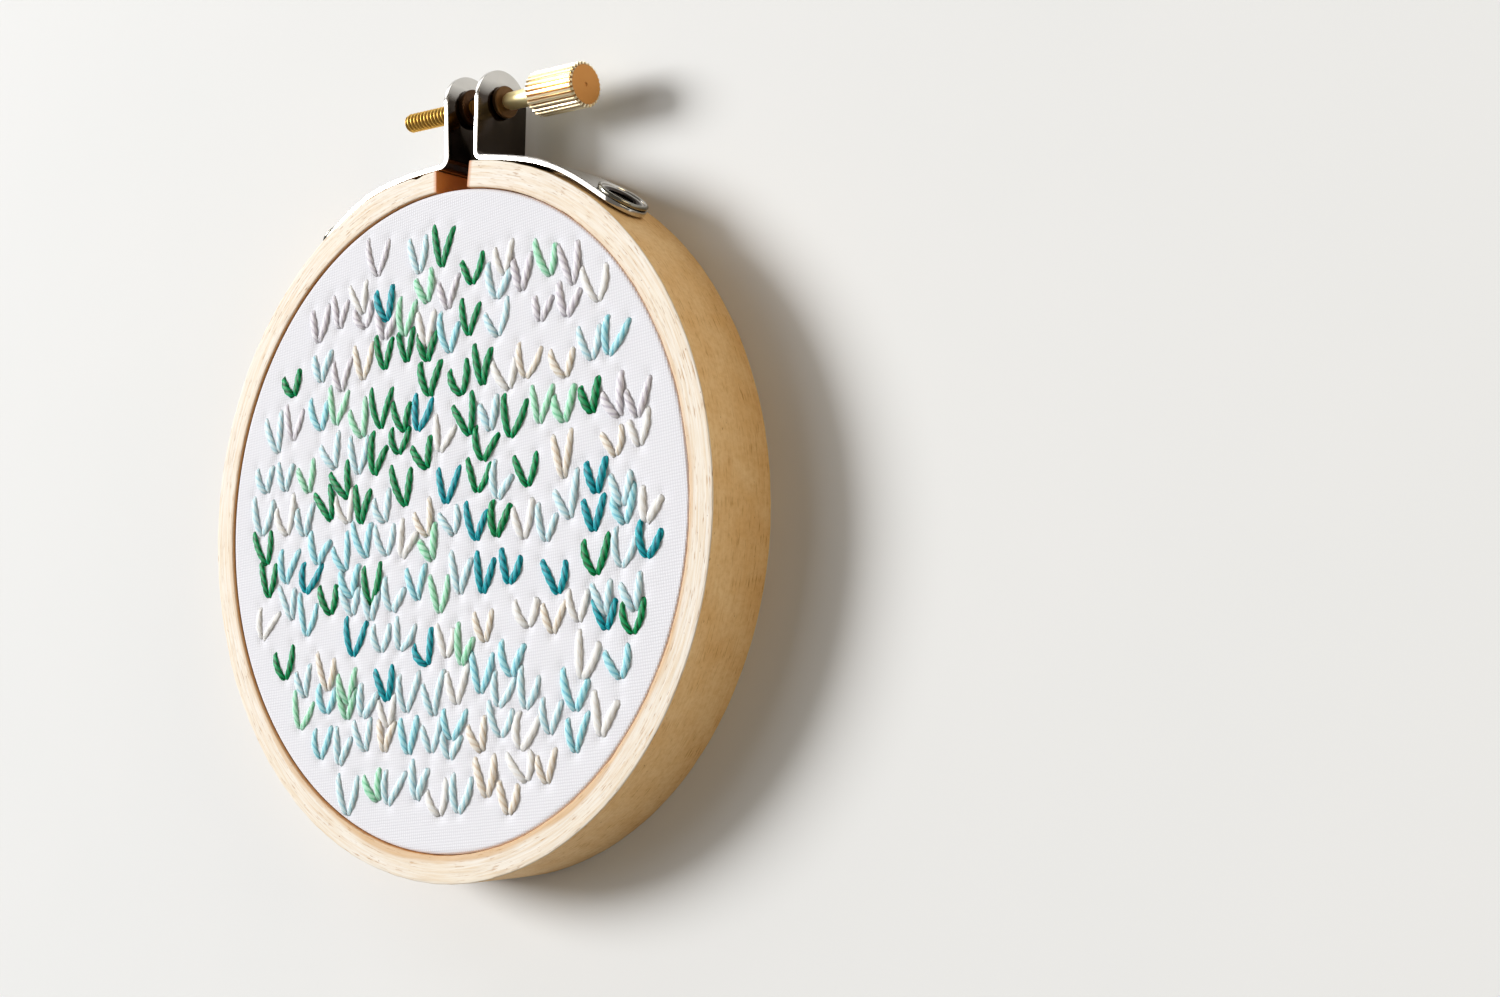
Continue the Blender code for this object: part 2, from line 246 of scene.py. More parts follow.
def wood(name, pale, tan, dash):
    """Bare wood bent with its grain along the ring. The point facts are grain: metres along and
    across the grain, and zone: how much a place is face, how much it lies in a tan band along the
    inner edge that grows towards the bottom, and how much it takes the sawn ends' orange brown: fully
    on a sawn end, and in part on the inner wall as painted shade."""
    look = Look(name, Roughness=0.62, Specular_IOR_Level=0.3)
    grain = look.fact("grain")
    zone = look.split(look.fact("zone"))
    fibre = look.noise(look.scaled(grain, (140, 3200, 1)), 1.0, 4.0, 0.6)
    broad = look.noise(look.scaled(grain, (60, 500, 1)), 1.0, 3.0, 0.6)
    blotch = look.noise(look.place(), 220.0, 3.0, 0.6)
    mottle = look.noise(look.place(), 1700.0, 2.0, 0.6)
    pores = look.noise(look.scaled(grain, (480, 5200, 1)), 1.0, 2.0, 0.5)
    dashes = look.sum("MULTIPLY", look.ramp(pores, 0.60, 0.68), look.ramp(blotch, 0.35, 0.6))
    specks = look.ramp(look.noise(look.scaled(grain, (1500, 2600, 1)), 1.0, 1.0, 0.5), 0.74, 0.80)

    face = look.mix(look.ramp(broad, 0.35, 0.75), linear(pale), linear("EADFCC"))
    face = look.mix(look.ramp(fibre, 0.42, 0.7, 0.0, 0.7), face, linear("DABF98"))
    side = look.mix(look.ramp(blotch, 0.3, 0.7), linear(tan), linear("E6BC80"))
    side = look.mix(look.ramp(fibre, 0.4, 0.8, 0.0, 0.35), side, linear("D29E60"))
    side = look.mix(look.ramp(mottle, 0.42, 0.7, 0.0, 0.3), side, linear("CC9A5E"))
    both = look.mix(zone[0], side, face)
    # A tan band along the inner edge of the face
    both = look.mix(look.sum("MULTIPLY", zone[1], 0.75), both, linear("CFA46B"))
    both = look.mix(look.sum("MULTIPLY", dashes, 0.75), both, linear(dash))
    both = look.mix(look.sum("MULTIPLY", specks, 0.6), both, linear("8A4A22"))
    # Orange brown of the sawn ends, and in part on the inner wall as painted shade
    both = look.mix(look.sum("MULTIPLY", zone[2], 0.9), both, linear("CE7C34"))
    look.colour(both)
    look.bump(look.sum("ADD", fibre, look.sum("MULTIPLY", dashes, -0.6)), 0.00006, 0.6)
    return look.material


def cotton():
    """Plain-weave cotton: threads at one pitch each way, with slubs and a little fuzz."""
    pitch = 0.35 * MM
    look = Look("white_cotton_weave", Roughness=0.9, Specular_IOR_Level=0.15)
    look.put(look.shader, {"Sheen_Weight": 0.15, "Sheen_Roughness": 0.5})
    turned = look.scaled(look.place(), (math.pi / pitch,) * 3, math.radians(-9))
    wander = look.noise(look.place(), 900.0, 2.0)
    x, y, _ = look.split(turned)
    across = look.sum("ABSOLUTE", look.sum("SINE", look.sum("ADD", x, wander)))
    along = look.sum("ABSOLUTE", look.sum("SINE", look.sum("ADD", y, wander)))
    knots = look.sum("MULTIPLY", across, along)
    slub = look.noise(look.scaled(turned, (0.05, 1.2, 1)), 1.0, 2.0)
    height = look.sum("ADD", knots, look.sum("MULTIPLY", slub, 0.35))
    shade = look.ramp(knots, 0.0, 0.55)
    look.colour(look.mix(shade, linear("DCDDE4"), linear("EAEBF1")))
    look.bump(height, 0.00007, 0.45)
    return look.material


def floss(name, code, shade):
    """Stranded cotton: satiny, with fine fibres along each ply and a painted shade line between plies.
    The point fact ply is metres along the arm, plies around it, and how deep a place is between two."""
    look = Look(name, Roughness=0.45, Specular_IOR_Level=0.14)
    look.put(look.shader, {"Subsurface_Weight": 1.0, "Subsurface_Scale": 1.1 * MM})
    look.put(look.shader, {"Subsurface_Radius": (1.0, 1.0, 1.0)})
    ply = look.fact("ply")
    fibre = look.noise(look.scaled(ply, (900, 9, 0)), 1.0, 2.0)
    tone = look.noise(look.place(), 420.0, 2.0)
    colour = look.mix(look.ramp(fibre, 0.35, 0.7), linear(shade), linear(code))
    colour = look.mix(look.ramp(tone, 0.5, 0.8, 0.0, 0.35), colour, linear(shade))
    # Painted shade in the grooves between plies: the colour is multiplied by the shaded colour
    between = look.ramp(look.split(ply)[2], 0.25, 0.9)
    look.colour(look.mix(between, colour, linear(shade), "MULTIPLY"))
    look.bump(fibre, 0.00004, 0.6)
    return look.material


def steel():
    """Bright plated steel with small scuffs. The ears' broad faces are painted dark brown up to the
    screw, a painted reflection of shade, and the inside of an eyelet is painted dark brown as shade.
    The fact spot says how much a place is ear, deep inside an eyelet, and on an eyelet's outer band,
    which is painted a darker grey as a dark reflection."""
    look = Look("bright_plated_steel", Metallic=1.0, Roughness=0.2)
    where = look.place()
    haze = look.noise(where, 300.0, 3.0)
    lines = look.noise(look.scaled(where, (4000, 4000, 300)), 1.0, 2.0)
    spot = look.split(look.fact("spot"))
    height = look.sum("ADD", look.split(where)[1], look.sum("MULTIPLY", haze, 1.2 * MM))
    # Painted dark reflection on the ears' broad faces, up to just above the screw
    below_screw = look.ramp(height, SCREW_MIDDLE.y + 1.0 * MM, SCREW_MIDDLE.y + 3.0 * MM, 1.0, 0.0)
    dark = look.sum("MAXIMUM", look.sum("MULTIPLY", spot[0], below_screw), spot[1])
    colour = look.mix(haze, linear("DEDBD6"), linear("C4C1BC"))
    # The eyelet's outer band painted a darker grey: painted dark reflection
    colour = look.mix(spot[2], colour, linear("8E8B80"))
    # Dark brown: painted reflection on the ears, painted shade inside an eyelet
    look.colour(look.mix(look.sum("MULTIPLY", dark, 0.93), colour, linear("2A1B10")))
    look.put(look.shader, {"Roughness": look.ramp(haze, 0.3, 0.8, 0.08, 0.2)})
    look.bump(lines, 0.00001, 0.3)
    return look.material


def brass(name, rough, light, dark, painted_shade_tone):
    """Turned brass. The fact spot says how much a place gets painted shade, in grooves and on the
    thread between the ears, and how much it is a matt end, painted a darker tan as a reflection of
    shade.
    """
    look = Look(name, Metallic=0.8, Roughness=rough)
    haze = look.noise(look.place(), 500.0, 3.0)
    spot = look.split(look.fact("spot"))
    colour = look.mix(haze, linear(light), linear(dark))
    # Painted shade in grooves and on the thread between the ears
    colour = look.mix(spot[0], colour, linear(painted_shade_tone))
    # The matt end: rougher, and painted a darker tan as a reflection of shade
    look.colour(look.mix(spot[1], colour, linear("CC8F4C")))
    uneven = look.ramp(haze, 0.3, 0.8, rough - 0.05, rough + 0.1)
    look.put(look.shader, {"Roughness": look.sum("ADD", uneven, look.sum("MULTIPLY", spot[1], 0.15))})
    return look.material


# The wooden rings


def thinning(way):
    """How much thinner the split ring is, at a way along it from its left end."""
    share = max(0.0, 1 - way / THINNED_WAY)
    return THINNED_BY * share * share * (3 - 2 * share)


def chip(way):
    """How deep the front edge of the split ring is chipped, at a way along it from its left end."""
    rough = abs(noise.noise(Vector((way * 1500, 0, 0)))) * 0.2 * MM * math.exp(-way / (4 * MM))
    return rough + 0.3 * MM * math.exp(-(((way - 3.6 * MM) / (0.7 * MM)) ** 2))


def wooden_ring(name, outer, wall, depth, material, split, seed):
    """A bent ring with soft corners, a slightly uneven wall and, if split, two sawn ends."""
    inner = outer - wall
    middle = (outer + inner) / 2
    corner = RING_CORNER
    shape = Shape()
    across = []

    def flat(start, end, count, zone):
        for i in range(count):
            share = i / (count - 1)
            across.append((start[0] + (end[0] - start[0]) * share,
                           start[1] + (end[1] - start[1]) * share, zone))

    def round_corner(centre, start, zone):
        for r, z in arc(centre, corner, start, start - QUARTER, 4)[1:-1]:
            across.append((r, z, zone))

    flat((inner + corner, depth), (outer - corner, depth), 12, "face")
    round_corner((outer - corner, depth - corner), QUARTER, "face")
    flat((outer, depth - corner), (outer, corner), 14, "side")
    round_corner((outer - corner, corner), 0, "face")
    flat((outer - corner, 0), (inner + corner, 0), 8, "face")
    round_corner((inner + corner, corner), -QUARTER, "face")
    flat((inner, corner), (inner, depth - corner), 8, "side")
    round_corner((inner + corner, depth - corner), 2 * QUARTER, "face")

    start = QUARTER + (SPLIT_HALF_ANGLE if split else 0)
    sweep = TURN - (2 * SPLIT_HALF_ANGLE if split else 0)
    columns = RING_COLUMNS
    rows = len(across)
    lengths = [0.0]
    for a, b in zip(across, across[1:]):
        lengths.append(lengths[-1] + math.dist(a[:2], b[:2]))
    grain, zones = [], []

    def point(i, j):
        r, z, zone = across[j]
        angle = start + sweep * i / (columns - 1 if split else columns)
        away = Vector((math.cos(angle), math.sin(angle), 0))
        spot = away * r * 120 + Vector((0, 0, z * 120 + seed))
        uneven = noise.noise(spot * 1.3) * 0.05 * MM + noise.noise(spot * 6) * 0.018 * MM
        edge = 0.0
        if min(abs(r - outer), abs(r - inner)) < corner and min(z, depth - z) < corner:
            edge = -abs(noise.noise(spot * 4 + Vector((9, 0, 0)))) * 0.08 * MM
        push = uneven + edge
        r_here = r + (push if r > middle else -push)
        if split:
            way = (angle - start) * outer
            r_here -= thinning(way) * (r - inner) / wall
            if r > outer - corner * 1.1 and z > depth / 2:
                r_here -= chip(way)
        z_here = z + (uneven * 0.6 + edge if z > depth / 2 else 0)
        grain.append((angle * outer, lengths[j], seed * 0.01))
        inner_band = 0.0
        # A tan band along the inner edge of the face, wider and stronger towards the bottom
        if zone == "face" and z > depth / 2:
            low = 0.5 - 0.5 * math.sin(angle - math.radians(18))
            wave = 0.5 + 0.5 * noise.noise(away * 3.1 + Vector((0, 0, 4)))
            reach = (0.25 + 1.0 * low * wave) * MM
            inner_band = max(0.0, min(1.0, (inner + reach - r) / (0.35 * MM) + 0.5)) * (0.35 + 0.65 * low)
        ends = 1.0 if split and i in (0, columns - 1) else 0.0
        # The inner wall takes part of the sawn ends' orange brown as painted shade
        if zone == "side" and r < middle:
            ends = max(ends, 0.6)
        zones.append((1.0 if zone == "face" else 0.0, inner_band, ends))
        return CENTRE + away * r_here + Vector((0, 0, z_here))

    shape.grid(columns, rows, point, wrap_columns=not split, wrap_rows=True)
    shape.facts = {"grain": grain, "zone": zones}
    if split:
        add_sawn_ends(shape, columns, rows, grain, zones)
    return shape.build(name, material)


def add_sawn_ends(shape, columns, rows, grain, zones):
    """Closes both ends with copies of their rims, drawn in a little so that the edge is broken."""
    for column, flip in ((0, False), (columns - 1, True)):
        rim = [column * rows + j for j in range(rows)]
        middle = sum((shape.points[k] for k in rim), Vector()) / rows
        first = len(shape.points)
        for k in rim:
            shape.points.append(shape.points[k].lerp(middle, 0.02))
            grain.append(grain[k])
            zones.append((0.0, 0.0, 1.0))
        for j in range(rows):
            k = (j + 1) % rows
            quad = (rim[j], rim[k], first + k, first + j)
            shape.faces.append(quad if not flip else quad[::-1])
        inside = tuple(range(first, first + rows))
        shape.cap(inside if not flip else inside[::-1])


def eyelet_frame(side):
    """Where an eyelet sits, level with the strap, its Z pointing out of the hoop."""
    direction = on_clock(EYELET_CLOCK, 1)
    turn = Vector((side * direction.x, direction.y, 0)).to_track_quat("Z", "Y").to_matrix().to_4x4()
    return Matrix.Translation(CENTRE + Vector((0, 0, SCREW_MIDDLE.z))) @ turn


def copy_facts(source, target, names):
    """Gives each point of a mesh the facts of the nearest point of another."""
    tree = KDTree(len(source.vertices))
    for index, vert in enumerate(source.vertices):
        tree.insert(vert.co, index)
    tree.balance()
    nearest = [tree.find(vert.co)[1] for vert in target.vertices]
    for name in names:
        values = np.empty((len(source.vertices), 3), np.float32)
        source.attributes[name].data.foreach_get("vector", values.ravel())
        layer = target.attributes.get(name) or target.attributes.new(name, "FLOAT_VECTOR", "POINT")
        layer.data.foreach_set("vector", values[nearest].ravel())


def drill(ring):
    """Cuts the two holes that the eyelets' tubes pass through."""
    cutters = []
    for side in (-1, 1):
        work = bmesh.new()
        matrix = eyelet_frame(side) @ Matrix.Translation((0, 0, RADIUS - WALL / 2))
        bmesh.ops.create_cone(
            work, cap_ends=True, segments=HOLE_SEGMENTS, radius1=HOLE_RADIUS,
            radius2=HOLE_RADIUS, depth=2 * WALL, matrix=matrix,
        )
        mesh = bpy.data.meshes.new("hole")
        work.to_mesh(mesh)
        work.free()
        cutters.append(bpy.data.objects.new("hole", mesh))
        link(cutters[-1])
        ring.modifiers.new("hole", "BOOLEAN").object = cutters[-1]
    bpy.context.view_layer.update()
    graph = bpy.context.evaluated_depsgraph_get()
    whole = ring.data
    ring.data = bpy.data.meshes.new_from_object(ring.evaluated_get(graph))
    ring.modifiers.clear()
    copy_facts(whole, ring.data, ("grain", "zone"))
    for cutter in cutters:
        bpy.data.objects.remove(cutter)


# Cloth and stitches

# How far out the cloth reaches between the two hoops
SHEET_RADIUS = RADIUS - WALL - 0.08 * MM

# Each colour of thread: its lit colour and its shaded colour
THREADS = {
    "dark_green": ("04A864", "00703E"),
    "teal": ("20B0BC", "088894"),
    "mint": ("BCECCF", "9CDAB8"),
    "pale_blue": ("D8F0F8", "BFE2EE"),
    "ivory": ("FFFCF8", "FAF4EC"),
    "beige": ("F6ECE0", "E8DACA"),
    "lilac_grey": ("E6E2E8", "D2CED6"),
    "sky": ("BCE8F2", "98D4E2"),
}
STITCH_SEED = 41
STITCHED_RADIUS = 35.4 * MM
ROWS = 17
ROW_PITCH = 4.0 * MM
STITCH_PITCH = 3.95 * MM
TRIES = 18
# How close the middles of two stitches' arms come, as wished for and at the least
ARM_GAP = 0.85 * MM
LEAST_GAP = 0.38 * MM
# Each arm's plies, the points round and along it, and its size
PLIES = 3
ARM_SIDES = 18
ARM_STEPS = 14
TWIST_PITCH = 3.9 * MM
ARM_HALF_WIDTH = 0.55 * MM
ARM_FLATNESS = 0.42
# How deep the arm's middle line starts under the cloth, and how far it rises
SUNK = 0.3 * MM
RISE = 0.41 * MM
# The cloth's thickness, and the rings and columns of points on its face
CLOTH_THICKNESS = 0.3 * MM
CLOTH_RINGS = 84
CLOTH_COLUMNS = 360
# How wide and how deep the cloth is drawn down at a needle hole
DIMPLE_WIDTH = 0.62 * MM
DIMPLE_DEPTH = 0.16 * MM


def thread_odds(x, y):
    """How likely each colour is at a place, x and y from -1 to 1 across the stitched round."""
    up_left = math.hypot(x + 0.15, y - 0.35)
    right = math.hypot(x - 0.35, y + 0.15)
    rim = math.hypot(x, y)
    return {
        "dark_green": 0.5 + 4.2 * math.exp(-up_left * up_left * 7) + (1.3 if x < -0.5 else 0),
        "teal": 0.2 + 2.6 * math.exp(-right * right * 4),
        "mint": 0.6,
        "pale_blue": 2.9 if y < 0.35 else 0.8,
        "ivory": 1.1,
        "beige": 0.9 if x > -0.1 and y < 0.5 else 0.2,
        "lilac_grey": 2.6 if y > 0.25 and rim > 0.72 else 0.0,
        "sky": 1.5 if y < 0.1 else 0.3,
    }


def plan_stitches():
    """A list of arms, each a colour, its two needle holes, its bow and its thickness. Each stitch
    is tried several times at its place, until it stands clear of those before it."""
    rng = random.Random(STITCH_SEED)
    arms, taken = [], np.full((1, 2), 1.0)
    for row in range(ROWS):
        level = (row + 0.5 - ROWS / 2) * ROW_PITCH
        half = math.sqrt(STITCHED_RADIUS**2 - level * level)
        count = max(1, round(2 * half / STITCH_PITCH))
        for k in range(count):
            x = (k + 0.5 - count / 2) * STITCH_PITCH
            y = level + 1.2 * MM * math.sin(x / (7 * MM) + 2.1 * row)
            odds = thread_odds(x / STITCHED_RADIUS, y / STITCHED_RADIUS)
            colour = rng.choices(list(odds), list(odds.values()))[0]
            best, best_gap = None, LEAST_GAP
            for _ in range(TRIES):
                spot = Vector((x + rng.uniform(-0.7, 0.7) * MM, y + rng.uniform(-1.3, 1.3) * MM))
                stitch = new_stitch(rng, spot, colour)
                places = np.array([place for arm in stitch for place in arm_places(arm)])
                gap = np.sqrt(((places[:, None] - taken[None]) ** 2).sum(2)).min()
                if gap > best_gap:
                    best, best_gap = (stitch, places), gap
                if gap > ARM_GAP:
                    break
            if best:
                arms += best[0]
                taken = np.vstack((taken, best[1]))
    return arms


def new_stitch(rng, spot, colour):
    """A V of two arms that meet at its foot."""
    height = rng.uniform(3.9, 5.3) * MM
    width = rng.uniform(3.0, 4.2) * MM
    lean = Matrix.Rotation(rng.gauss(math.radians(7), math.radians(10)), 2)
    thick = rng.uniform(0.9, 1.1)
    arms = []
    for side in (-1, 1):
        top = Vector((side * width / 2, height / 2 * rng.uniform(0.5, 1.2)))
        foot = Vector((side * 0.17 * MM, -height / 2))
        bow = -side * rng.uniform(-0.1, 0.5) * MM
        arms.append((colour, spot + lean @ top, spot + lean @ foot, bow, thick, rng.random()))
    return arms


def arm_places(arm):
    """Places along an arm's middle line."""
    _, top, foot, bow, _, _ = arm
    way = (foot - top).normalized()
    out = Vector((way.y, -way.x))
    shares = [i / 8 for i in range(9)]
    return [top.lerp(foot, s) + out * bow * math.sin(math.pi * s) for s in shares]


def add_arm(shape, facts, top, foot, bow, thick, phase):
    """Three plies laid up as one twisted rope, up out of one hole and down into the other."""
    way = (foot - top).to_3d()
    length = way.length
    way.normalize()
    out = Vector((way.y, -way.x, 0))
    up = Vector((0, 0, 1))

    def spine(share):
        hump = math.sin(math.pi * share) ** 0.45 if 0 < share < 1 else 0.0
        place = top.to_3d().lerp(foot.to_3d(), share) + out * bow * math.sin(math.pi * share)
        return CENTRE + place + up * (CLOTH_TOP - SUNK + RISE * hump)

    def point(i, j):
        share = i / (ARM_STEPS - 1)
        fullness = 0.7 + 0.3 * max(0.0, math.sin(math.pi * share)) ** 0.6
        around = TURN * j / ARM_SIDES
        strand = PLIES * (around / TURN - phase - length * share / TWIST_PITCH)
        crest = abs(math.cos(math.pi * strand))
        reach = ARM_HALF_WIDTH * thick * fullness * (0.64 + 0.36 * crest**0.7)
        facts.append((share * length, strand, 1 - crest))
        return spine(share) + (out * math.cos(around) + up * math.sin(around) * ARM_FLATNESS) * reach

    start = shape.grid(ARM_STEPS, ARM_SIDES, point, wrap_rows=True)
    shape.cap(range(start, start + ARM_SIDES))
    shape.cap(range(start + (ARM_STEPS - 1) * ARM_SIDES, start + ARM_STEPS * ARM_SIDES))


def make_stitches(arms):
    for colour, (code, shade) in THREADS.items():
        shape, facts = Shape(), []
        for name, top, foot, bow, thick, phase in arms:
            if name == colour:
                add_arm(shape, facts, top, foot, bow, thick, phase)
        shape.facts = {"ply": facts}
        obj = shape.build("stitches_" + colour, floss("floss_" + colour, code, shade), 80)
        fix_normals(obj)
        place(obj, "white_cotton")


def make_cloth(arms):
    """The stretched round, drawn down a little at each needle hole, with its edge turned down."""
    holes = np.array([(p.x, p.y) for arm in arms for p in arm[1:3]])
    edge = 0.5 * MM
    columns = CLOTH_COLUMNS
    flat_radius = SHEET_RADIUS - edge
    shares = [i / CLOTH_RINGS for i in range(1, CLOTH_RINGS + 1)]
    rings = [(flat_radius * share**0.8, CLOTH_TOP) for share in shares]
    rings += arc((flat_radius, CLOTH_TOP - edge), edge, QUARTER, 0, 6)[1:]
    skirt_low = CLOTH_LOW.z
    rings += [(SHEET_RADIUS, CLOTH_TOP - edge + (skirt_low - CLOTH_TOP + edge) * i / 8)
              for i in range(1, 9)]
    shape = Shape()

    def point(i, j):
        angle = TURN * i / columns
        r, z = rings[j]
        away = Vector((math.cos(angle), math.sin(angle), 0))
        if z < CLOTH_TOP - edge:
            share = (CLOTH_TOP - edge - z) / (CLOTH_TOP - edge - skirt_low)
            r -= share * (0.5 + noise.noise(away * 14)) * 0.08 * MM
            z += (share > 0.99) * (0.35 + noise.noise(away * 60) * 0.5) * MM
        return CENTRE + away * r + Vector((0, 0, z))

    shape.grid(columns, len(rings), point, wrap_columns=True)
    middle = len(shape.points)
    shape.points.append(CENTRE + Vector((0, 0, CLOTH_TOP)))
    rows = len(rings)
    for i in range(columns):
        shape.faces.append((middle, i * rows, (i + 1) % columns * rows))
    for k, p in enumerate(shape.points):
        if p.z > CLOTH_TOP - 0.01 * MM:
            near = holes - np.array((p.x - CENTRE.x, p.y - CENTRE.y))
            dip = np.exp(-(near**2).sum(1) / DIMPLE_WIDTH**2).sum()
            ripple = noise.noise(p * 90) * 0.05 * MM
            shape.points[k] = p - Vector((0, 0, min(dip, 1.3) * DIMPLE_DEPTH - ripple))
    shape.faces = [face[::-1] for face in shape.faces]
    obj = shape.build("stretched_cloth", cotton(), 60)
    bm = bmesh.new()
    bm.from_mesh(obj.data)
    bmesh.ops.recalc_face_normals(bm, faces=bm.faces)
    if sum(f.normal.z for f in bm.faces) < 0:
        bmesh.ops.reverse_faces(bm, faces=bm.faces)
    bm.to_mesh(obj.data)
    bm.free()
    solid = obj.modifiers.new("thickness", "SOLIDIFY")
    solid.thickness = CLOTH_THICKNESS
    solid.offset = -1
    place(obj, "white_cotton", replaces=["cloth"])


# Clamp

STRIP_WIDTH = 8.0 * MM
STRIP_THICKNESS = 0.65 * MM
STRIP_Z = SCREW_MIDDLE.z
STRAP_END_RADIUS = 3.2 * MM
STRAP_TAPER_LENGTH = 9.0 * MM
BEND_RADIUS = 1.1 * MM
EYELET_LIFT = 0.35 * MM
SCREW_HEIGHT = SCREW_MIDDLE.y - CENTRE.y
SCREW_RADIUS = 1.17 * MM
EYELET_BARREL = 2.2 * MM
EYELET_RIM_RADIUS = 3.2 * MM
# Where the knob starts along the screw, from the middle between the ears
KNOB_START = 10.1 * MM
# Steps round an eyelet, round the other turned pieces and round a hole in a plate
EYELET_STEPS = 72
TURNED_STEPS = 64
PLATE_HOLE_STEPS = 40

# Each ear: how far its near face stands from the middle at its foot, its lean outwards, and how
# far the strap stands off the wood half-way along
EARS = {-1: (1.0 * MM, math.radians(5.2), 0.1 * MM), 1: (3.3 * MM, math.radians(-1.3), 0.3 * MM)}


class BracketPath:
    """The middle line of a bracket, from its eyelet round the hoop and up the ear."""

    def __init__(self, side):
        foot_x, lean, self.bow = EARS[side]
        half = STRIP_THICKNESS / 2
        self.side = side
        self.bend_radius = RADIUS + half + 0.04 * MM - (0.56 * MM if side < 0 else 0)
        centre_radius = self.bend_radius + BEND_RADIUS
        centre_x = foot_x + half + BEND_RADIUS * math.cos(lean)
        self.bend_clock = math.asin(centre_x / centre_radius)
        self.bend_centre = on_clock(self.bend_clock, centre_radius)
        self.arc_angle = EYELET_CLOCK - self.bend_clock
        self.arc_length = self.arc_angle * (self.bend_radius + RADIUS) / 2
        self.bend_end = self.arc_length + BEND_RADIUS * (QUARTER - self.bend_clock + lean)
        self.ear_way = on_clock(lean, 1)
        self.ear_normal = Vector((self.ear_way.y, -self.ear_way.x))
        self.ear_foot = self.bend_centre - BEND_RADIUS * self.ear_normal
        self.length = self.bend_end + (SCREW_HEIGHT - self.ear_foot.y) / self.ear_way.y

    def strap_radius(self, share):
        """The strap leaves the wood after the bend and comes down again towards the eyelet."""
        share = max(0.0, share)
        way = share * share * (3 - 2 * share)
        far = RADIUS + STRIP_THICKNESS / 2 + EYELET_LIFT
        bow = self.bow * math.sin(math.pi * min(1.0, share * 1.12)) ** 2
        return far + (self.bend_radius - far) * way + bow

    def at(self, length):
        if length > self.bend_end:
            return self.ear_foot + self.ear_way * (length - self.bend_end), self.ear_normal
        if length > self.arc_length:
            turn = (length - self.arc_length) / BEND_RADIUS
            normal = on_clock(self.bend_clock + turn, 1)
            return self.bend_centre - BEND_RADIUS * normal, normal
        share = length / self.arc_length
        normal = on_clock(EYELET_CLOCK - share * self.arc_angle, 1)
        return normal * self.strap_radius(share), normal


def plate(rings, thickness, bevel):
    """A flat plate with rounded edges, as a bmesh, from rings of 2D points."""
    curve = bpy.data.curves.new("plate", "CURVE")
    curve.dimensions = "2D"
    curve.fill_mode = "BOTH"
    curve.extrude = thickness / 2 - bevel
    curve.bevel_depth = bevel
    curve.bevel_resolution = 2
    curve.offset = -bevel
    for ring in rings:
        spline = curve.splines.new("POLY")
        spline.points.add(len(ring) - 1)
        for point, (x, y) in zip(spline.points, ring):
            point.co = (x, y, 0, 1)
        spline.use_cyclic_u = True
    source = bpy.data.objects.new("plate", curve)
    link(source)
    bpy.context.view_layer.update()
    graph = bpy.context.evaluated_depsgraph_get()
    mesh = bpy.data.meshes.new_from_object(source.evaluated_get(graph))
    bpy.data.objects.remove(source)
    work = bmesh.new()
    work.from_mesh(mesh)
    bpy.data.meshes.remove(mesh)
    bmesh.ops.remove_doubles(work, verts=work.verts, dist=1e-6)
    bmesh.ops.recalc_face_normals(work, faces=work.faces)
    return work


def make_bracket(name, side, hole_radius, material):
    path = BracketPath(side)
    half = STRIP_WIDTH / 2
    outline = [(STRAP_TAPER_LENGTH, half)]
    outline += arc((0, 0), STRAP_END_RADIUS, QUARTER, 3 * QUARTER, 32)
    outline += [(STRAP_TAPER_LENGTH, -half)]
    outline += arc((path.length, 0), half, -QUARTER, QUARTER, 32)
    rings = [
        outline,
        arc((0, 0), EYELET_BARREL, 0, TURN, PLATE_HOLE_STEPS)[:-1],
        arc((path.length, 0), hole_radius, 0, TURN, PLATE_HOLE_STEPS)[:-1],
    ]
    work = plate(rings, STRIP_THICKNESS, 0.06 * MM)
    strap, bend = 36, 14
    stations = [path.arc_length * i / strap for i in range(-5, strap)]
    span = path.bend_end - path.arc_length
    stations += [path.arc_length + span * i / bend for i in range(bend + 1)]
    for station in stations:
        everything = list(work.verts) + list(work.edges) + list(work.faces)
        bmesh.ops.bisect_plane(
            work, geom=everything, dist=1e-7, plane_co=(station, 0, 0), plane_no=(1, 0, 0)
        )
    spot = work.faces.layers.float_vector.new("spot")
    for face in work.faces:
        broad = abs(face.normal.z) > 0.9
        on_ear = face.calc_center_median().x > path.arc_length
        # The ears' broad faces get the steel's painted dark reflection
        face[spot] = (float(broad and on_ear), 0, 0)
    for vert in work.verts:
        along, across, out = vert.co
        middle, normal = path.at(along)
        point = middle + normal * out
        vert.co = CENTRE + Vector((side * point.x, point.y, STRIP_Z + across))
    if side < 0:
        bmesh.ops.reverse_faces(work, faces=work.faces)
    mesh = bpy.data.meshes.new(name + "_plated")
    work.to_mesh(mesh)
    work.free()
    place(add_object(name + "_plated", mesh, material), "nickel_steel", replaces=[name])


